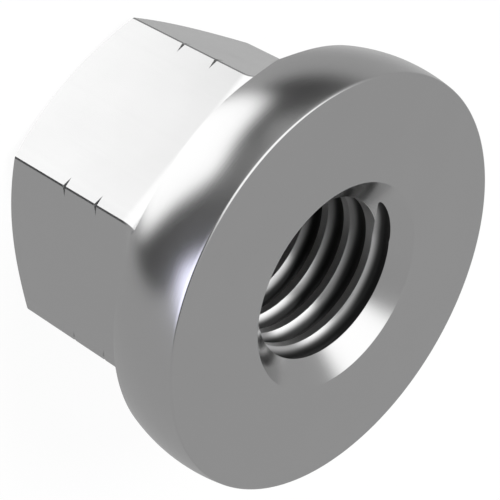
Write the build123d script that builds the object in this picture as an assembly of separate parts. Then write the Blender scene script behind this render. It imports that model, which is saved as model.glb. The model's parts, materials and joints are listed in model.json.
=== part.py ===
from build123d import *
import os
from math import cos, pi, radians, sqrt, tan

# Collar nut, one and a half thread diameters high, turned and milled from one piece of steel.
# Millimetres. The thread's axis is Z. The hexagon's end lies on Z = 0 and the bearing face of
# the collar looks up. Two corners of the hexagon lie on the X axis.

# Overall sizes
nut_height = 15.0
flat_count = 6
across_flats = 16.0
collar_thickness = 4.0
collar_face_diameter = 22.0
collar_back_diameter = 21.8

# How far the middle of the rim stands out beyond its two edges
rim_bulge = 0.25

# How much the turned blank leaves off each sharp corner of the hexagon
corner_cut = 0.03

# Hollow between the hexagon and the back of the collar, left by the rounded tool
neck_radius = 2.5

# Rounding of the collar's edge at the bearing face
face_edge_radius = 0.12

# Chamfer on the hexagon's end: how far inside the flats its flat circle ends, and its slope
end_circle_inset = 0.1
end_chamfer_angle = 30.0

# Turned marks below the hollow, seen only as notches across the six corners
mark_count = 2
mark_below_hollow = 1.8
mark_spacing = 2.25
mark_depth = 0.25
mark_angle = 40.0

# Threaded hole: the hole is cut at the thread's smallest diameter, and each countersink is
# wider than the thread
thread_diameter = 10.0
thread_pitch = 1.5
face_countersink_oversize = 1.0
end_countersink_oversize = 0.8
countersink_angle = 90.0

collar_back_height = nut_height - collar_thickness
hollow_height = collar_back_height - neck_radius
flat_distance = across_flats / 2
turned_radius = flat_distance / cos(pi / flat_count) - corner_cut
thread_minor_radius = (thread_diameter - thread_pitch * sqrt(3) * 5 / 8) / 2


def mark(height):
    """Section of the pointed tool that turns one mark across the corners."""
    tip_radius = turned_radius - mark_depth
    reach = 2 * mark_depth
    half_width = reach * tan(radians(mark_angle / 2))
    outline = Polyline(
        (tip_radius, height),
        (tip_radius + reach, height + half_width),
        (tip_radius + reach, height - half_width),
        close=True,
    )
    return make_face(outline)


def hollow_corner(distance):
    """Section of the metal that the round tool leaves between a wall and the collar's back."""
    corner = Pos(distance + neck_radius / 2, collar_back_height - neck_radius / 2)
    tool = Pos(distance + neck_radius, collar_back_height - neck_radius)
    return corner * Rectangle(neck_radius, neck_radius) - tool * Circle(neck_radius)


def turned_blank():
    """The blank from the lathe: a marked shank that runs through a hollow into the collar."""
    end_radius = flat_distance - end_circle_inset
    chamfer_height = (turned_radius - end_radius) * tan(radians(end_chamfer_angle))
    shank_outline = Polyline(
        (0, 0),
        (end_radius, 0),
        (turned_radius, chamfer_height),
        (turned_radius, collar_back_height),
        (0, collar_back_height),
        close=True,
    )
    section = make_face(shank_outline)
    for index in range(mark_count):
        section -= mark(hollow_height - mark_below_hollow - index * mark_spacing)

    back_radius = collar_back_diameter / 2
    face_radius = collar_face_diameter / 2
    rim = ThreePointArc(
        (back_radius, collar_back_height),
        ((back_radius + face_radius) / 2 + rim_bulge, (collar_back_height + nut_height) / 2),
        (face_radius, nut_height),
    )
    sides = Polyline(
        (face_radius, nut_height),
        (0, nut_height),
        (0, collar_back_height),
        (back_radius, collar_back_height),
    )
    within_rim = Rectangle(back_radius, collar_back_height, align=Align.MIN)
    section += hollow_corner(turned_radius) & within_rim
    section += make_face(rim + sides)
    return revolve(Plane.XZ * section, Axis.Z)


def flat_cutter():
    """What the milling cutter clears for one flat: its corner leaves the hollow at the collar."""
    cut_width = 2 * turned_radius
    cut = Pos(flat_distance, collar_back_height) * Rectangle(
        cut_width, 2 * nut_height, align=(Align.MIN, Align.MAX)
    )
    section = Plane.XZ * (cut - hollow_corner(flat_distance))
    return extrude(section, cut_width, both=True)


def hole():
    """The hole at the thread's smallest diameter, opened by a countersink at each end."""
    slope = tan(radians(countersink_angle / 2))
    face_radius = (thread_diameter + face_countersink_oversize) / 2
    end_radius = (thread_diameter + end_countersink_oversize) / 2
    outline = Polyline(
        (0, 0),
        (end_radius, 0),
        (thread_minor_radius, (end_radius - thread_minor_radius) / slope),
        (thread_minor_radius, nut_height - (face_radius - thread_minor_radius) / slope),
        (face_radius, nut_height),
        (0, nut_height),
        close=True,
    )
    return revolve(Plane.XZ * make_face(outline), Axis.Z)


def collar_nut():
    """The finished nut: blank, six flats, softened face edge and hole."""
    nut = turned_blank()
    first_flat = 360 / flat_count / 2
    cutter = flat_cutter()
    for index in range(flat_count):
        nut -= Rot(0, 0, first_flat + index * 360 / flat_count) * cutter
    face_edge = nut.edges().filter_by(GeomType.CIRCLE).group_by(Axis.Z)[-1]
    nut = fillet(face_edge, face_edge_radius)
    return nut - hole()


os.makedirs("parts", exist_ok=True)
nut = collar_nut()
nut.label = "collar_nut"
export_step(nut, "parts/collar_nut.step")
print("collar_nut volume", round(nut.volume, 2), "mm3, solids", len(nut.solids()))
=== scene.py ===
# %% [markdown]
# # A collar nut
#
# A collar nut is a tall hexagon nut that carries its own washer: the wide collar. It is made from
# one bar of steel. A lathe turns the round forms, a milling cutter leaves the six flats, and a tap
# cuts the thread. This lesson makes the nut in the same order, so each step in Blender is a step
# at the machine.

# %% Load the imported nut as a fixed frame
import json
from math import acos, atan2, cos, degrees, pi, radians, sin, sqrt, tan

import bmesh
import bpy
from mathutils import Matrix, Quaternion, Vector


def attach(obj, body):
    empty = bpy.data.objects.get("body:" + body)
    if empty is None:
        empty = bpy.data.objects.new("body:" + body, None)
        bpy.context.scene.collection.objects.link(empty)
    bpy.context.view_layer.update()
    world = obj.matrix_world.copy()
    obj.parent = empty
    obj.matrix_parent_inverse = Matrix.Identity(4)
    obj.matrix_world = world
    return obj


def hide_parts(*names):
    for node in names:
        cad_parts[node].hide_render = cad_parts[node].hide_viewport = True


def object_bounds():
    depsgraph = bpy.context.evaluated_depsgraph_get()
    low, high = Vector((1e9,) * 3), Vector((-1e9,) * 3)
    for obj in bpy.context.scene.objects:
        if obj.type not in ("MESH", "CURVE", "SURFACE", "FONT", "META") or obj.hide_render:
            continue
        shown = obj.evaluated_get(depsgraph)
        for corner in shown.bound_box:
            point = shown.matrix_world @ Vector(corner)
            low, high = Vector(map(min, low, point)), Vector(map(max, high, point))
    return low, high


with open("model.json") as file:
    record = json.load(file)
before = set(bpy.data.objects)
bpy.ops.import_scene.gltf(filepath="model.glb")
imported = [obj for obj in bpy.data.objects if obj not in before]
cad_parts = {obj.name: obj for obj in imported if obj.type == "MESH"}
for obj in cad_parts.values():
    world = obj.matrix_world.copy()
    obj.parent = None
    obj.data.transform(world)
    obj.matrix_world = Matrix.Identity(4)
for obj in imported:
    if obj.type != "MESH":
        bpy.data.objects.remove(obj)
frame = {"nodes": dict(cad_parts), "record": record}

cad_low, cad_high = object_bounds()
print("frame:", sorted(frame["nodes"]), "height", round(cad_high.z - cad_low.z, 5), "m")

# %% [markdown]
# ## Sizes
#
# A maker works from a drawing. These are the drawing's numbers: the height and the thread's bore
# come from the frame, and the rest repeat the part's own sizes. Blender works in metres here, so
# every size is written in millimetres and multiplied once.

# %% The drawing's sizes
MM = 0.001
nut_height = cad_high.z - cad_low.z
flat_count = 6
across_flats = 16.0 * MM
corner_cut = 0.03 * MM
collar_thickness = 4.0 * MM
collar_face_radius = 22.0 / 2 * MM
collar_back_radius = 21.8 / 2 * MM
rim_bulge = 0.25 * MM
neck_radius = 2.5 * MM
face_edge_radius = 0.12 * MM

flat_distance = across_flats / 2
corner_stretch = 1 / cos(pi / flat_count)
turned_radius = flat_distance * corner_stretch - corner_cut
collar_back_height = nut_height - collar_thickness
hollow_height = collar_back_height - neck_radius

threaded_hole = next(m for m in frame["record"]["mounts"] if m["kind"] == "threaded_hole")
thread_minor_radius = threaded_hole["dims"]["r_mm"] * MM
face_countersink_radius = 11.0 / 2 * MM
end_countersink_radius = 10.8 / 2 * MM
print("bore radius", round(thread_minor_radius / MM, 3), "mm, height", round(nut_height / MM, 3), "mm")

# %% [markdown]
# ## The turning tool's path
#
# On a lathe the bar spins and the tool draws half of the nut's section. A path is a short list of
# points (distance from the axis, height). Straight cuts need two points, and round ones are arcs
# worked out from their centre, so that no outline is traced by hand.

# %% Helpers for a tool path
def arc_points(centre, radius, start, end, count):
    """Points along a round cut, from the start angle to the end angle, in degrees."""
    angles = [radians(start + (end - start) * i / count) for i in range(count + 1)]
    return [(centre[0] + radius * cos(a), centre[1] + radius * sin(a)) for a in angles]


def circle_through(first, middle, last):
    """Centre and radius of the circle through three points."""
    a, b, c = complex(*first), complex(*middle), complex(*last)
    turn = (c - a) / (b - a)
    centre = a + (b - a) * (turn - abs(turn) ** 2) / (2j * turn.imag)
    return (centre.real, centre.imag), abs(a - centre)


def angle_of(centre, point):
    """Direction from a centre to a point, in degrees."""
    return degrees(atan2(point[1] - centre[1], point[0] - centre[0]))


print("a round cut of three points:", arc_points((0, 0), 1, 0, 90, 2))


# %% [markdown]
# ## The turned blank
#
# The blank has everything that is round: the chamfered end, the shank with its two V marks, the
# hollow below the collar, the collar with its bulged rim and softened edge, and the hole with a
# countersink at each end. The marks end up as small notches across the six corners, because the
# flats are milled away deeper than the marks are cut. A hexagon's corners lie further out than its
# flats by the same share at every height, so the blank's hollow is the flats' own arc, stretched by
# that share and cut back by a hair: a thin even edge is left along each corner. It runs up to the
# bulged rim, whose round cut goes on below the collar's back until it meets the hollow.

# %% Path of the turned blank
end_circle_inset = 0.1 * MM
end_chamfer_angle = 30
mark_depth = 0.25 * MM
mark_angle = 40
mark_below_hollow = 1.8 * MM
mark_spacing = 2.25 * MM

end_circle_radius = flat_distance - end_circle_inset
chamfer_height = (turned_radius - end_circle_radius) * tan(radians(end_chamfer_angle))
mark_half_width = mark_depth * tan(radians(mark_angle / 2))
upper_mark = hollow_height - mark_below_hollow
lower_mark = upper_mark - mark_spacing

blank_path = [(end_countersink_radius, 0), (end_circle_radius, 0), (turned_radius, chamfer_height)]
for mark_height in (lower_mark, upper_mark):
    blank_path += [
        (turned_radius, mark_height - mark_half_width),
        (turned_radius - mark_depth, mark_height),
        (turned_radius, mark_height + mark_half_width),
    ]
print("points up to the hollow:", len(blank_path))

# %% Path of the hollow and the rim
rim_back = (collar_back_radius, collar_back_height)
rim_middle = (
    (collar_back_radius + collar_face_radius) / 2 + rim_bulge,
    (collar_back_height + nut_height) / 2,
)
rim_face = (collar_face_radius, nut_height)
rim_centre, rim_radius = circle_through(rim_back, rim_middle, rim_face)

# The rim and the hollow are two curves. Each round brings the height where they meet closer.
hollow_steps = 16
closing_rounds = 10
hollow_centre = (flat_distance + neck_radius, hollow_height)
meeting_height = collar_back_height
for _ in range(closing_rounds):
    rim_distance = rim_centre[0] + sqrt(rim_radius**2 - (meeting_height - rim_centre[1]) ** 2)
    flat_reach = (rim_distance + corner_cut) / corner_stretch
    hollow_end = acos((flat_reach - hollow_centre[0]) / neck_radius)
    meeting_height = hollow_height + neck_radius * sin(hollow_end)
hollow_arc = arc_points(hollow_centre, neck_radius, 180, degrees(hollow_end), hollow_steps)
blank_path += [(distance * corner_stretch - corner_cut, height) for distance, height in hollow_arc]
print("the rim meets the hollow", round(meeting_height / MM, 3), "mm above the hexagon's end")

# %% Path of the face and the hole
rim_steps = 30
edge_steps = 6
edge_height = nut_height - face_edge_radius
edge_reach = sqrt((rim_radius - face_edge_radius) ** 2 - (edge_height - rim_centre[1]) ** 2)
edge_centre = (rim_centre[0] + edge_reach, edge_height)
edge_start = angle_of(rim_centre, edge_centre)
rim_start = angle_of(rim_centre, (rim_distance, meeting_height))
blank_path += arc_points(rim_centre, rim_radius, rim_start, edge_start, rim_steps)[1:]
blank_path += arc_points(edge_centre, face_edge_radius, edge_start, 90, edge_steps)[1:]

blank_path += [
    (face_countersink_radius, nut_height),
    (thread_minor_radius, nut_height - (face_countersink_radius - thread_minor_radius)),
    (thread_minor_radius, end_countersink_radius - thread_minor_radius),
]
print("rim radius", round(rim_radius / MM, 2), "mm; points on the blank's path:", len(blank_path))

# %% [markdown]
# ## The form of the milled flats
#
# Six passes of a cutter with a rounded corner leave a hexagon whose faces bend outwards below the
# collar. Seen from the axis, that is the same rule as turning, with six sides instead of a round:
# a path is carried round the axis in six steps. So one tree can make both forms.

# %% Path of the hexagonal form
flat_steps = 20
clear = 5 * MM
wide = collar_face_radius + clear
flat_arc = arc_points(hollow_centre, neck_radius, 180, 90, flat_steps)
inside_hole = thread_minor_radius / 2
form_path = [(inside_hole, -clear), (flat_distance, -clear)] + flat_arc
form_path += [(wide, collar_back_height), (wide, nut_height + clear), (inside_hole, nut_height + clear)]
form_path = [(distance * corner_stretch, height) for distance, height in form_path]
print("points on the form's path:", len(form_path))

# %% [markdown]
# ## A tree that turns a path round the axis
#
# Geometry Nodes carry out the rule: a grid has one row for each point of the path and one column
# for each step round the axis. Each grid point looks up its point on the path and is turned by its
# share of a full circle. The last row and column fall on the first ones, so they are merged.

# %% Helpers for node trees
def add_node(tree, kind, inputs=None, group=None, **settings):
    """Adds a node. A value in inputs fills a socket, and a socket in inputs is linked to it."""
    node = tree.nodes.new(kind)
    if group:
        node.node_tree = group
    for name, value in settings.items():
        setattr(node, name, value)
    for name, value in (inputs or {}).items():
        if isinstance(value, bpy.types.NodeSocket):
            tree.links.new(value, node.inputs[name])
        else:
            node.inputs[name].default_value = value
    return node


def calculate(tree, operation, first, second=0.0):
    """One step of arithmetic on two values or sockets."""
    return add_node(tree, "ShaderNodeMath", {0: first, 1: second}, operation=operation).outputs[0]


def new_form_tree(name, sizes):
    """An empty Geometry Nodes tree with named inputs for its sizes."""
    tree = bpy.data.node_groups.new(name, "GeometryNodeTree")
    tree.interface.new_socket("Geometry", in_out="INPUT", socket_type="NodeSocketGeometry")
    for size, kind in sizes.items():
        tree.interface.new_socket(size, in_out="INPUT", socket_type="NodeSocket" + kind)
    tree.interface.new_socket("Geometry", in_out="OUTPUT", socket_type="NodeSocketGeometry")
    return tree, tree.nodes.new("NodeGroupInput").outputs


def end_form_tree(tree, geometry, material):
    """Ends a tree as plain faces with one finish."""
    real = add_node(tree, "GeometryNodeRealizeInstances", {"Geometry": geometry})
    finished = add_node(
        tree, "GeometryNodeSetMaterial", {"Geometry": real.outputs[0], "Material": material}
    )
    add_node(tree, "NodeGroupOutput", {"Geometry": finished.outputs[0]})


def run_form_tree(tree, name, start_mesh, **sizes):
    """Runs a tree on a start mesh and returns the result as an object with a plain mesh."""
    maker = bpy.data.objects.new(name + "_maker", start_mesh)
    bpy.context.scene.collection.objects.link(maker)
    modifier = maker.modifiers.new(name, "NODES")
    modifier.node_group = tree
    for item in tree.interface.items_tree:
        if item.in_out == "INPUT" and item.name in sizes:
            modifier[item.identifier] = sizes[item.name]
    evaluated = maker.evaluated_get(bpy.context.evaluated_depsgraph_get())
    made = bpy.data.objects.new(name, bpy.data.meshes.new_from_object(evaluated))
    bpy.data.objects.remove(maker)
    bpy.context.scene.collection.objects.link(made)
    made.data.materials.clear()
    made.data.materials.append(sizes["Finish"])
    made.data.polygons.foreach_set("material_index", [0] * len(made.data.polygons))
    return made


print("helpers for node trees are ready")

# %% The turning tree
merge_distance = 0.0005 * MM


def turning_tree():
    """Carries the start mesh's points round the Z axis."""
    sizes = {"Steps": "Int", "Finish": "Material"}
    tree, given = new_form_tree("turn round the axis", sizes)
    counts = add_node(tree, "GeometryNodeAttributeDomainSize", {"Geometry": given["Geometry"]})
    path_count = counts.outputs["Point Count"]
    columns = calculate(tree, "ADD", given["Steps"], 1.0)
    grid = add_node(
        tree,
        "GeometryNodeMeshGrid",
        {"Vertices X": calculate(tree, "ADD", path_count, 1.0), "Vertices Y": columns},
    )
    index = add_node(tree, "GeometryNodeInputIndex").outputs[0]
    row = calculate(tree, "FLOOR", calculate(tree, "DIVIDE", index, columns))
    column = calculate(tree, "MODULO", index, columns)
    path_point = add_node(
        tree,
        "GeometryNodeSampleIndex",
        {
            "Geometry": given["Geometry"],
            "Value": add_node(tree, "GeometryNodeInputPosition").outputs[0],
            "Index": calculate(tree, "MODULO", row, path_count),
        },
        data_type="FLOAT_VECTOR",
        domain="POINT",
    )
    share = calculate(tree, "DIVIDE", column, given["Steps"])
    turned = add_node(
        tree,
        "ShaderNodeVectorRotate",
        {"Vector": path_point.outputs[0], "Angle": calculate(tree, "MULTIPLY", share, 2 * pi)},
        rotation_type="Z_AXIS",
    )
    placed = add_node(
        tree,
        "GeometryNodeSetPosition",
        {"Geometry": grid.outputs["Mesh"], "Position": turned.outputs[0]},
    )
    closed = add_node(
        tree,
        "GeometryNodeMergeByDistance",
        {"Geometry": placed.outputs[0], "Distance": merge_distance},
    )
    end_form_tree(tree, closed.outputs[0], given["Finish"])
    return tree


def path_mesh(name, path):
    """A start mesh whose points are those of a tool path, in the XZ plane."""
    mesh = bpy.data.meshes.new(name)
    mesh.from_pydata([(distance, 0, height) for distance, height in path], [], [])
    return mesh


turn = turning_tree()
print("nodes in the turning tree:", len(turn.nodes))

# %% Turn the blank and make the form of the flats
steps_round = 360
turned_steel = bpy.data.materials.new("turned_steel")
milled_steel = bpy.data.materials.new("milled_steel")
thread_steel = bpy.data.materials.new("thread_steel")
nut = run_form_tree(
    turn, "nut", path_mesh("blank_path", blank_path), Steps=steps_round, Finish=turned_steel
)
flats_form = run_form_tree(
    turn, "flats_form", path_mesh("form_path", form_path), Steps=flat_count, Finish=milled_steel
)
print("blank faces", len(nut.data.polygons), "form faces", len(flats_form.data.polygons))

# %% [markdown]
# ## The tap
#
# A tap cuts a groove that climbs one pitch in each turn. The groove's section is carried along a
# spiral, which makes a spring-shaped solid: taking it away from the blank leaves the thread. It
# starts below the nut, and at the collar it runs out in the countersink: over the last seventh of a
# turn the groove gets smaller and moves outwards and up, until it has left the steel.

# %% The tap's tree
thread_pitch = 1.5 * MM
groove_radius = 0.545 * MM
groove_centre_radius = 4.12 * MM
groove_height_at_x = 13.263 * MM
turns_below = 10
last_angle = 200
run_out_angle = 50
run_out_distance = 0.45 * MM
last_size = 0.35
section_steps = 40
steps_each_turn = 144
turn_count = turns_below + last_angle / 360


def run_out(tree, given):
    """How far along its run-out the groove is, from 0 to 1, and the shift that it has there."""
    along = add_node(tree, "GeometryNodeSplineParameter").outputs["Factor"]
    faded = add_node(
        tree, "ShaderNodeMapRange", {"Value": along, "From Min": given["Run-out start"], "From Max": 1.0}
    ).outputs["Result"]
    place = add_node(tree, "GeometryNodeInputPosition").outputs[0]
    level = add_node(tree, "ShaderNodeVectorMath", {0: place, 1: (1, 1, 0)}, operation="MULTIPLY")
    outwards = add_node(tree, "ShaderNodeVectorMath", {0: level.outputs[0]}, operation="NORMALIZE")
    both = add_node(tree, "ShaderNodeVectorMath", {0: outwards.outputs[0], 1: (0, 0, 1)}, operation="ADD")
    distance = calculate(tree, "MULTIPLY", faded, given["Run-out distance"])
    shift = add_node(tree, "ShaderNodeVectorMath", {0: both.outputs[0], "Scale": distance}, operation="SCALE")
    return faded, shift.outputs[0]


def tap_tree():
    """Carries a round section along a spiral that climbs one pitch in each turn."""
    sizes = {
        "Pitch": "Float",
        "Turns": "Float",
        "Spiral radius": "Float",
        "Groove radius": "Float",
        "Start height": "Float",
        "Run-out start": "Float",
        "Run-out distance": "Float",
        "Last size": "Float",
        "Steps": "Int",
        "Finish": "Material",
    }
    tree, given = new_form_tree("tap", sizes)
    spiral = add_node(
        tree,
        "GeometryNodeCurveSpiral",
        {
            "Resolution": given["Steps"],
            "Rotations": given["Turns"],
            "Start Radius": given["Spiral radius"],
            "End Radius": given["Spiral radius"],
            "Height": calculate(tree, "MULTIPLY", given["Pitch"], given["Turns"]),
            "Reverse": True,
        },
    )
    faded, shift = run_out(tree, given)
    rise = add_node(tree, "ShaderNodeCombineXYZ", {"Z": given["Start height"]}).outputs[0]
    offset = add_node(tree, "ShaderNodeVectorMath", {0: rise, 1: shift}, operation="ADD").outputs[0]
    lifted = add_node(tree, "GeometryNodeSetPosition", {"Geometry": spiral.outputs[0], "Offset": offset})
    size = add_node(tree, "ShaderNodeMapRange", {"Value": faded, "To Min": 1.0, "To Max": given["Last size"]})
    upright = add_node(tree, "GeometryNodeSetCurveNormal", {"Curve": lifted.outputs[0]}, mode="Z_UP")
    section = add_node(
        tree,
        "GeometryNodeCurvePrimitiveCircle",
        {"Resolution": section_steps, "Radius": given["Groove radius"]},
        mode="RADIUS",
    )
    swept = add_node(
        tree,
        "GeometryNodeCurveToMesh",
        {
            "Curve": upright.outputs[0],
            "Profile Curve": section.outputs["Curve"],
            "Scale": size.outputs["Result"],
            "Fill Caps": True,
        },
    )
    end_form_tree(tree, swept.outputs[0], given["Finish"])
    return tree


tap = run_form_tree(
    tap_tree(),
    "tap",
    path_mesh("tap_start", [(0, 0)]),
    **{
        "Pitch": thread_pitch,
        "Turns": turn_count,
        "Spiral radius": groove_centre_radius,
        "Groove radius": groove_radius,
        "Start height": groove_height_at_x - turns_below * thread_pitch,
        "Run-out start": 1 - run_out_angle / 360 / turn_count,
        "Run-out distance": run_out_distance,
        "Last size": last_size,
        "Steps": steps_each_turn,
        "Finish": thread_steel,
    },
)
print("tap faces", len(tap.data.polygons))

# %% [markdown]
# ## Cutting
#
# Now the forms meet: the nut keeps only what lies inside the hexagonal form, and loses what the
# tap sweeps. Boolean modifiers do both cuts and give each cut face the finish of its own tool.
# Where two forms nearly meet, a cut leaves slivers, as a real one leaves burrs. A sliver can hide in
# a face with many corners, so the faces are split into triangles before the thinnest are removed.

# %% Mill the flats and cut the thread
def face_outwards(piece):
    """Turns a closed mesh's faces outwards."""
    shape = bmesh.new()
    shape.from_mesh(piece.data)
    bmesh.ops.recalc_face_normals(shape, faces=shape.faces)
    shape.to_mesh(piece.data)
    shape.free()


def cut(piece, tool, operation):
    """Cuts the piece with a tool, and takes the tool away."""
    modifier = piece.modifiers.new(tool.name, "BOOLEAN")
    modifier.object = tool
    modifier.operation = operation
    modifier.solver = "MANIFOLD"
    modifier.material_mode = "TRANSFER"
    evaluated = piece.evaluated_get(bpy.context.evaluated_depsgraph_get())
    old_mesh = piece.data
    new_mesh = bpy.data.meshes.new_from_object(evaluated)
    piece.modifiers.clear()
    piece.data = new_mesh
    bpy.data.meshes.remove(old_mesh)
    bpy.data.objects.remove(tool)


def clear_slivers(piece, size):
    """Splits the faces into triangles and removes those that are thinner than a size."""
    shape = bmesh.new()
    shape.from_mesh(piece.data)
    bmesh.ops.triangulate(shape, faces=shape.faces)
    bmesh.ops.dissolve_degenerate(shape, dist=size, edges=shape.edges)
    print("edges that don't join two faces:", sum(not edge.is_manifold for edge in shape.edges))
    shape.to_mesh(piece.data)
    shape.free()


sliver_size = 0.002 * MM
for form in (nut, flats_form, tap):
    face_outwards(form)
cut(nut, flats_form, "INTERSECT")
cut(nut, tap, "DIFFERENCE")
clear_slivers(nut, sliver_size)
nut.data.name = "nut"
print("nut faces", len(nut.data.polygons), [m.name if m else None for m in nut.data.materials])

# %% [markdown]
# ## Edges and shading
#
# Round faces have to look round and flat ones flat. Edges sharper than a set angle stay crisp, and
# the weighted normals give each large flat face its own true direction.

# %% Shade the nut
crisp_angle = 18
flat_face_weight = 100
for polygon in nut.data.polygons:
    polygon.use_smooth = True
nut.data.set_sharp_from_angle(angle=radians(crisp_angle))
finishes_at = {}
for polygon in nut.data.polygons:
    for key in polygon.edge_keys:
        finishes_at.setdefault(key, set()).add(polygon.material_index)
for edge in nut.data.edges:
    if len(finishes_at[edge.key]) > 1:
        edge.use_edge_sharp = True
weighted = nut.modifiers.new("true faces", "WEIGHTED_NORMAL")
weighted.keep_sharp = True
weighted.weight = flat_face_weight
evaluated = nut.evaluated_get(bpy.context.evaluated_depsgraph_get())
shaded_mesh = bpy.data.meshes.new_from_object(evaluated)
nut.modifiers.clear()
nut.data = shaded_mesh
print("triangles", sum(len(p.vertices) - 2 for p in nut.data.polygons))

# %% [markdown]
# ## Steel
#
# The nut is bare steel, and each tool leaves its own finish on it. Two effects make up all of them,
# so each is a node group that is built once: the fine ridges that a tool leaves side by side, and
# the soft patches of a surface that isn't equally smooth everywhere. A finish turns them into a
# slightly uneven tone, an uneven roughness and a very low relief.

# %% The ridges that a tool leaves
def new_effect(name, inputs, outputs):
    """An empty shader node group with named number and vector sockets."""
    group = bpy.data.node_groups.new(name, "ShaderNodeTree")
    for direction, sockets in (("INPUT", inputs), ("OUTPUT", outputs)):
        for socket, kind in sockets.items():
            group.interface.new_socket(socket, in_out=direction, socket_type="NodeSocket" + kind)
    return group, group.nodes.new("NodeGroupInput").outputs


def tool_marks_group():
    """Node group: fine uneven ridges, one after the other across the tool's path."""
    group, given = new_effect(
        "tool marks", {"Across": "Float", "Spacing": "Float"}, {"Ridges": "Float"}
    )
    ridges = add_node(
        group,
        "ShaderNodeTexNoise",
        {
            "W": calculate(group, "DIVIDE", given["Across"], given["Spacing"]),
            "Scale": 1.0,
            "Detail": 2.0,
            "Roughness": 0.6,
        },
        noise_dimensions="1D",
    )
    add_node(group, "NodeGroupOutput", {"Ridges": ridges.outputs[0]})
    return group


tool_marks = tool_marks_group()
print("effect:", tool_marks.name)

# %% The soft patches
def patches_group():
    """Node group: soft patches, as a wiped surface has."""
    group, given = new_effect(
        "soft patches", {"Place": "Vector", "Patch size": "Float"}, {"Patches": "Float"}
    )
    scaled = add_node(
        group,
        "ShaderNodeVectorMath",
        {0: given["Place"], "Scale": calculate(group, "DIVIDE", 1.0, given["Patch size"])},
        operation="SCALE",
    )
    patches = add_node(
        group,
        "ShaderNodeTexNoise",
        {"Vector": scaled.outputs[0], "Scale": 1.0, "Detail": 3.0, "Roughness": 0.55},
    )
    add_node(group, "NodeGroupOutput", {"Patches": patches.outputs[0]})
    return group


soft_patches = patches_group()
print("effect:", soft_patches.name)

# %% One finish from the two effects
clean_tone = 0.6
tone_spread = 0.03
patch_size = 3 * MM


def steel_places(tree):
    """Where a point of the steel lies: its place, its distances along X, Y and Z, and its radius."""
    place = add_node(tree, "ShaderNodeTexCoord").outputs["Object"]
    x, y, z = add_node(tree, "ShaderNodeSeparateXYZ", {0: place}).outputs
    level = add_node(tree, "ShaderNodeCombineXYZ", {0: x, 1: y}).outputs[0]
    radius = add_node(tree, "ShaderNodeVectorMath", {0: level}, operation="LENGTH").outputs["Value"]
    return {"place": place, "x": x, "y": y, "z": z, "radius": radius}


def blend(tree, amount, first, second):
    """A number between two others, as far along as amount says."""
    return add_node(
        tree, "ShaderNodeMapRange", {"Value": amount, "To Min": first, "To Max": second}
    ).outputs["Result"]


def finish_steel(material, place, across, spacing, ridge_height, tone, roughness, metallic=1.0):
    """Fills a steel finish: ridges of one height and spacing, a tone and a range of roughness."""
    tree = material.node_tree
    shader = tree.nodes["Principled BSDF"]
    ridges = add_node(
        tree, "ShaderNodeGroup", {"Across": across, "Spacing": spacing}, tool_marks
    ).outputs["Ridges"]
    patches = add_node(
        tree, "ShaderNodeGroup", {"Place": place, "Patch size": patch_size}, soft_patches
    ).outputs["Patches"]
    unevenness = calculate(tree, "ADD", ridges, patches)
    average = calculate(tree, "MULTIPLY", unevenness, 0.5)
    share = blend(tree, average, 1 - tone_spread, 1 + tone_spread)
    shade = calculate(tree, "MULTIPLY", tone, share)
    colour = add_node(tree, "ShaderNodeCombineColor", {"Red": shade, "Green": shade, "Blue": shade})
    tree.links.new(colour.outputs[0], shader.inputs["Base Color"])
    tree.links.new(blend(tree, patches, *roughness), shader.inputs["Roughness"])
    relief = add_node(tree, "ShaderNodeBump", {"Height": ridges, "Distance": ridge_height, "Strength": 1.0})
    tree.links.new(relief.outputs[0], shader.inputs["Normal"])
    shader.inputs["Metallic"].default_value = metallic
    high = round(ridge_height / MM, 5)
    apart = round(spacing / MM, 2)
    print(material.name, "has ridges", high, "mm high,", apart, "mm apart")


for steel in (turned_steel, milled_steel, thread_steel):
    steel.use_nodes = True

# %% [markdown]
# ## Turned steel
#
# The lathe's tool leaves rings round the axis, 0.12 mm apart. They follow each other outwards on the
# faces and upwards on the rim, so a ring's number grows with the distance from the axis and with the
# height. The drill leaves the bore duller than the tool leaves the outside, so it is rougher there.

# %% Turned steel
wall_margin = 0.01 * MM
tree = turned_steel.node_tree
at = steel_places(tree)
in_bore = calculate(tree, "LESS_THAN", at["radius"], thread_minor_radius + wall_margin)
finish_steel(
    turned_steel,
    at["place"],
    across=calculate(tree, "ADD", at["radius"], at["z"]),
    spacing=0.12 * MM,
    ridge_height=0.0006 * MM,
    tone=clean_tone,
    roughness=(blend(tree, in_bore, 0.17, 0.35), blend(tree, in_bore, 0.25, 0.45)),
)

# %% [markdown]
# ## Milled steel
#
# The milling cutter runs along each flat, so its marks run up the flat and lie side by side across
# it. The six flats share one rule: the direction round the axis is wrapped to one flat's share, and
# the distance from that flat's middle line numbers the marks.

# %% Milled steel
tree = milled_steel.node_tree
at = steel_places(tree)
flat_share = 2 * pi / flat_count
direction = calculate(tree, "ARCTAN2", at["y"], at["x"])
on_flat = add_node(
    tree, "ShaderNodeMath", {0: direction, 1: flat_share, 2: 0.0}, operation="WRAP"
).outputs[0]
from_middle = calculate(tree, "SUBTRACT", on_flat, flat_share / 2)
finish_steel(
    milled_steel,
    at["place"],
    across=calculate(tree, "MULTIPLY", at["radius"], calculate(tree, "SINE", from_middle)),
    spacing=0.3 * MM,
    ridge_height=0.0006 * MM,
    tone=clean_tone,
    roughness=(0.17, 0.25),
)
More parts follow.
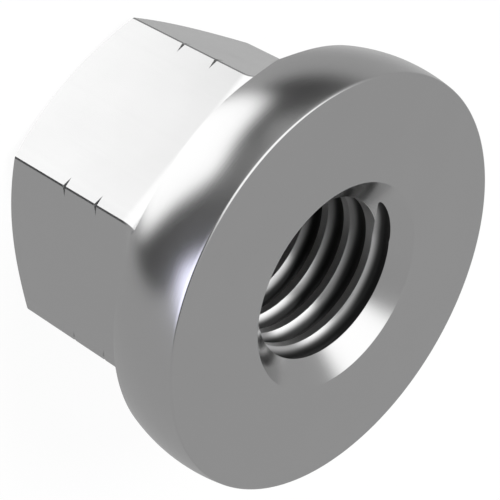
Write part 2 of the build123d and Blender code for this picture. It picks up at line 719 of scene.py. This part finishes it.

# %% [markdown]
# ## Thread steel
#
# A tap tears its flanks a little, so they are duller than the turned outside and catch light from
# every side. The groove's shade is painted into its tone: the colour falls off smoothly from the
# crest, where it is clean steel, to nearly black at the root.

# %% Thread steel
# Painted shade: the groove's tone darkens towards its root, where little light gets in.
painted_root_shade = 0.02
dark_band = 0.05 * MM
root_radius = groove_centre_radius + groove_radius
tree = thread_steel.node_tree
at = steel_places(tree)
# The painted shade in the groove: clean steel at the crest, nearly black at the root.
painted_groove_shade = add_node(
    tree,
    "ShaderNodeMapRange",
    {
        "Value": at["radius"],
        "From Min": thread_minor_radius,
        "From Max": root_radius - dark_band,
        "To Min": clean_tone,
        "To Max": painted_root_shade,
    },
    interpolation_type="SMOOTHSTEP",
).outputs["Result"]
finish_steel(
    thread_steel,
    at["place"],
    across=calculate(tree, "ADD", at["radius"], at["z"]),
    spacing=0.1 * MM,
    ridge_height=0.0004 * MM,
    tone=painted_groove_shade,
    roughness=(0.3, 0.4),
    metallic=0.55,
)

# %% [markdown]
# ## Into the frame
#
# The nut is one piece of one metal. It rides on the row's only body and takes the place of the
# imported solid, whose form it keeps: new are the thread's groove, the thin edge along the hollow's
# corners and the finish.

# %% Put the nut on its body
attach(nut, "root")
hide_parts("collar_nut")
print("the nut rides on root, finishes:", [m.name for m in nut.data.materials])

# %% [markdown]
# ## The floor
# The nut stands on white paper. What the camera sees of it is nearly all plain white, with a small
# share of lit paint that keeps a faint shadow round the nut. Bright metal mirrors all that lies round
# it, so mirrored rays pass through the paper, and the metal shows the studio's walls alone. Only long
# rays that come down through the hole meet a painted shade: a nearly black round patch of paper
# under the nut, in place of the nut's shadow there.

# %% The floor
floor_half_size = 600 * MM
floor_mesh = bpy.data.meshes.new("floor")
floor_mesh.from_pydata(
    [(x * floor_half_size, y * floor_half_size, 0) for x, y in ((-1, -1), (1, -1), (1, 1), (-1, 1))],
    [],
    [(0, 1, 2, 3)],
)
floor = bpy.data.objects.new("floor", floor_mesh)
bpy.context.scene.collection.objects.link(floor)
floor_paper = bpy.data.materials.new("floor_paper")
floor_paper.use_nodes = True
floor.data.materials.append(floor_paper)
print("floor", 2 * floor_half_size, "m wide")

# %% The paper's look
paint_colour = (0.8, 0.8, 0.8, 1)
# Painted shade: the paper under the nut is nearly black for mirrored rays, in place of its shadow.
painted_shade_colour = (0.03, 0.03, 0.03, 1)
white_strength = 1.02
plain_white_share = 0.93
painted_shade_radius = 7 * MM
shortest_ray_down = 4 * MM


def mix_looks(tree, share, first, second):
    """One look where share is 0, the other where it is 1."""
    return add_node(tree, "ShaderNodeMixShader", {0: share, 1: first, 2: second}).outputs[0]


tree = floor_paper.node_tree
tree.nodes.clear()
light_path = add_node(tree, "ShaderNodeLightPath").outputs
place = add_node(tree, "ShaderNodeNewGeometry").outputs
paint = add_node(tree, "ShaderNodeBsdfDiffuse", {"Color": paint_colour}).outputs[0]
white = add_node(
    tree, "ShaderNodeEmission", {"Color": (1, 1, 1, 1), "Strength": white_strength}
).outputs[0]
# The painted shade under the nut.
painted_shade_look = add_node(tree, "ShaderNodeBsdfDiffuse", {"Color": painted_shade_colour}).outputs[0]
nothing = add_node(tree, "ShaderNodeBsdfTransparent").outputs[0]

seen_white = calculate(tree, "MULTIPLY", light_path["Is Camera Ray"], plain_white_share)
paper = mix_looks(tree, seen_white, paint, white)
from_axis = add_node(
    tree, "ShaderNodeVectorMath", {0: place["Position"]}, operation="LENGTH"
).outputs["Value"]
beside = calculate(tree, "GREATER_THAN", from_axis, painted_shade_radius)
close = calculate(tree, "LESS_THAN", light_path["Ray Length"], shortest_ray_down)
missed = calculate(tree, "MAXIMUM", beside, close)
passes = calculate(tree, "MULTIPLY", light_path["Is Glossy Ray"], missed)
# Long mirrored rays that come down through the hole see the painted shade.
sees_painted_shade = calculate(tree, "SUBTRACT", light_path["Is Glossy Ray"], passes)
hidden = calculate(tree, "MAXIMUM", passes, place["Backfacing"])
look = mix_looks(tree, hidden, mix_looks(tree, sees_painted_shade, paper, painted_shade_look), nothing)
add_node(tree, "ShaderNodeOutputMaterial", {"Surface": look})
print("nodes in the paper's look:", len(tree.nodes))

# %% [markdown]
# ## The studio
#
# Steel has hardly any colour of its own: its look is what it mirrors. So the studio matters as much
# as the metal. It is a grey room with two bright windows, a smaller cool one, four dark cards, a
# small grey one and a pale one. Each of them is a soft patch of directions, and one node group makes
# them all: the ray is turned until the card lies straight ahead, and its angles aside and above are
# compared with the card's half width and half height.

# %% One soft card of the studio
def soft_card_group():
    """Node group: how much of one soft card or window a ray meets, from 0 to 1."""
    inputs = {"Ray": "Vector", "Facing": "Vector"}
    for number in ("Half width", "Half height", "Softness", "Squareness"):
        inputs[number] = "Float"
    group, given = new_effect("soft card", inputs, {"Cover": "Float"})
    turned = add_node(
        group,
        "ShaderNodeVectorRotate",
        {"Vector": given["Ray"], "Rotation": given["Facing"]},
        rotation_type="EULER_XYZ",
        invert=True,
    )
    ahead = add_node(group, "ShaderNodeSeparateXYZ", {0: turned.outputs[0]}).outputs
    aside = calculate(group, "ARCTAN2", ahead["Y"], ahead["X"])
    above = calculate(group, "ARCSINE", ahead["Z"])
    parts = []
    for angle, half in ((aside, "Half width"), (above, "Half height")):
        share = calculate(group, "ABSOLUTE", calculate(group, "DIVIDE", angle, given[half]))
        parts.append(calculate(group, "POWER", share, given["Squareness"]))
    root = calculate(group, "DIVIDE", 1.0, given["Squareness"])
    reach = calculate(group, "POWER", calculate(group, "ADD", *parts), root)
    half_fade = calculate(group, "MULTIPLY", given["Softness"], 0.5)
    outer = calculate(group, "ADD", 1.0, half_fade)
    inner = calculate(group, "SUBTRACT", 1.0, half_fade)
    cover = add_node(
        group,
        "ShaderNodeMapRange",
        {"Value": reach, "From Min": outer, "From Max": inner},
        interpolation_type="SMOOTHSTEP",
    )
    add_node(group, "NodeGroupOutput", {"Cover": cover.outputs["Result"]})
    return group


soft_card = soft_card_group()
print("effect:", soft_card.name, "with", len(soft_card.nodes), "nodes")

# %% The windows and cards round the nut
wall_grey = (0.438, 0.438, 0.438, 1)
studio_cards = (
    # name, direction (azimuth, elevation), turn, half width, half height, softness, squareness, colour
    ("left dark card", -147.5, -31, -35, 26, 17, 1.1, 1.5, (0.07, 0.07, 0.07)),
    ("large dark card", -82, -45, -49, 35.5, 38, 0.22, 4, (0.08, 0.08, 0.08)),
    ("upper dark card", -64, -19, -35, 29, 10, 0.4, 4, (0.125, 0.125, 0.125)),
    ("small grey card", -101, -20, 0, 16, 10, 1.5, 2, (0.23, 0.23, 0.23)),
    ("low window", -105, -60, 19, 25, 25.5, 0.45, 4, (1.7, 1.7, 1.7)),
    ("cool window", -42.5, -4.5, -10, 17, 15.5, 1.05, 1.5, (2.05, 2.05, 2.5)),
    ("high dark card", -50, 27, -10, 32, 21, 0.6, 4, (0.1, 0.1, 0.1)),
    ("high window", -123, 52, 37, 28, 40, 0.6, 4, (1.68, 1.68, 1.68)),
    ("left pale card", 123, -38, 18, 22, 12, 1.7, 2, (0.58, 0.58, 0.58)),
)


def mix_colours(tree, share, first, second):
    """One colour where share is 0, the other where it is 1."""
    return add_node(tree, "ShaderNodeMix", {0: share, 6: first, 7: second}, data_type="RGBA").outputs[2]


world = bpy.data.worlds.new("studio")
bpy.context.scene.world = world
world.use_nodes = True
world.cycles.sampling_method = "NONE"
tree = world.node_tree
ray = add_node(tree, "ShaderNodeTexCoord").outputs["Generated"]
studio = wall_grey
for name, azimuth, elevation, turned_by, *shape, colour in studio_cards:
    facing = (radians(turned_by), radians(-elevation), radians(azimuth))
    half_width, half_height, softness, squareness = shape
    card = add_node(
        tree,
        "ShaderNodeGroup",
        {
            "Ray": ray,
            "Facing": facing,
            "Half width": radians(half_width),
            "Half height": radians(half_height),
            "Softness": softness,
            "Squareness": squareness,
        },
        soft_card,
    )
    card.label = name
    studio = mix_colours(tree, card.outputs["Cover"], studio, (*colour, 1))
print("cards and windows:", len(studio_cards))

# %% [markdown]
# ## What each kind of ray sees
#
# Only mirrored rays see the studio. The camera sees plain white behind the nut, and the light that
# falls on dull surfaces is an even grey, so that the windows don't tint the paper.

# %% What each kind of ray sees
even_light = 0.5
light_path = add_node(tree, "ShaderNodeLightPath").outputs
even = (even_light, even_light, even_light, 1)
plain = mix_colours(tree, light_path["Is Diffuse Ray"], (1, 1, 1, 1), even)
seen = mix_colours(tree, light_path["Is Glossy Ray"], plain, studio)
tree.links.new(seen, tree.nodes["Background"].inputs["Color"])
print("nodes in the studio:", len(tree.nodes))

# %% [markdown]
# ## Lamps
#
# A wide soft lamp, high on one side, lights the paper and the dull flanks of the thread. A
# narrow one shines into the hole from the same side and brightens the ends of the thread's turns,
# and a narrower one reaches the deepest turn. None is seen in the metal, because the studio's
# windows already are.

# %% The lamps
def add_lamp(name, kind, aim, azimuth, elevation, distance, **settings):
    """Adds a lamp that looks at a point from a direction and a distance."""
    data = bpy.data.lights.new(name, kind)
    for setting, value in settings.items():
        setattr(data, setting, value)
    lamp = bpy.data.objects.new(name, data)
    bpy.context.scene.collection.objects.link(lamp)
    turn, rise = radians(azimuth), radians(elevation)
    away = Vector((cos(turn) * cos(rise), sin(turn) * cos(rise), sin(rise)))
    lamp.location = Vector(aim) * MM + away * distance * MM
    lamp.rotation_mode = "QUATERNION"
    lamp.rotation_quaternion = away.to_track_quat("Z", "Y")
    lamp.visible_glossy = False
    print(name, "stands", distance, "mm away")


add_lamp(
    "soft_lamp",
    "AREA",
    (0, 0, 0),
    azimuth=-120,
    elevation=55,
    distance=420,
    shape="DISK",
    size=200 * MM,
    energy=1.3,
)
for name, aim, spot_size, energy in (
    ("narrow_lamp", (1.6, 3.8, 11.3), 1.4, 3.2),
    ("deep_lamp", (-0.1, 4.2, 8.5), 0.85, 2.1),
):
    add_lamp(
        name,
        "SPOT",
        aim,
        azimuth=-120,
        elevation=50,
        distance=150,
        spot_size=radians(spot_size),
        spot_blend=0.7,
        shadow_soft_size=0.3 * MM,
        energy=energy,
    )

# %% [markdown]
# ## The camera
#
# The picture is taken from above the collar with a long lens, close to the nut, and the camera is
# rolled by a third of a turn: the nut seems to lie on its side.

# %% The camera
camera_data = bpy.data.cameras.new("camera")
camera_data.sensor_width = 36
camera_data.lens = 141.08
camera_data.clip_start = 0.01
camera = bpy.data.objects.new("camera", camera_data)
bpy.context.scene.collection.objects.link(camera)
bpy.context.scene.camera = camera
camera_place = Vector((21.0, -76.641, 66.077)) * MM
camera_aim = Vector((0.558, 0.141, 9.363)) * MM
camera_roll = Quaternion((0, 0, 1), radians(120.06))
look = camera_aim - camera_place
camera.rotation_mode = "QUATERNION"
camera.location = camera_place
camera.rotation_quaternion = look.to_track_quat("-Z", "Y") @ camera_roll
bpy.context.scene.view_settings.view_transform = "Standard"
print("the camera is", round(look.length / MM, 1), "mm from the nut")
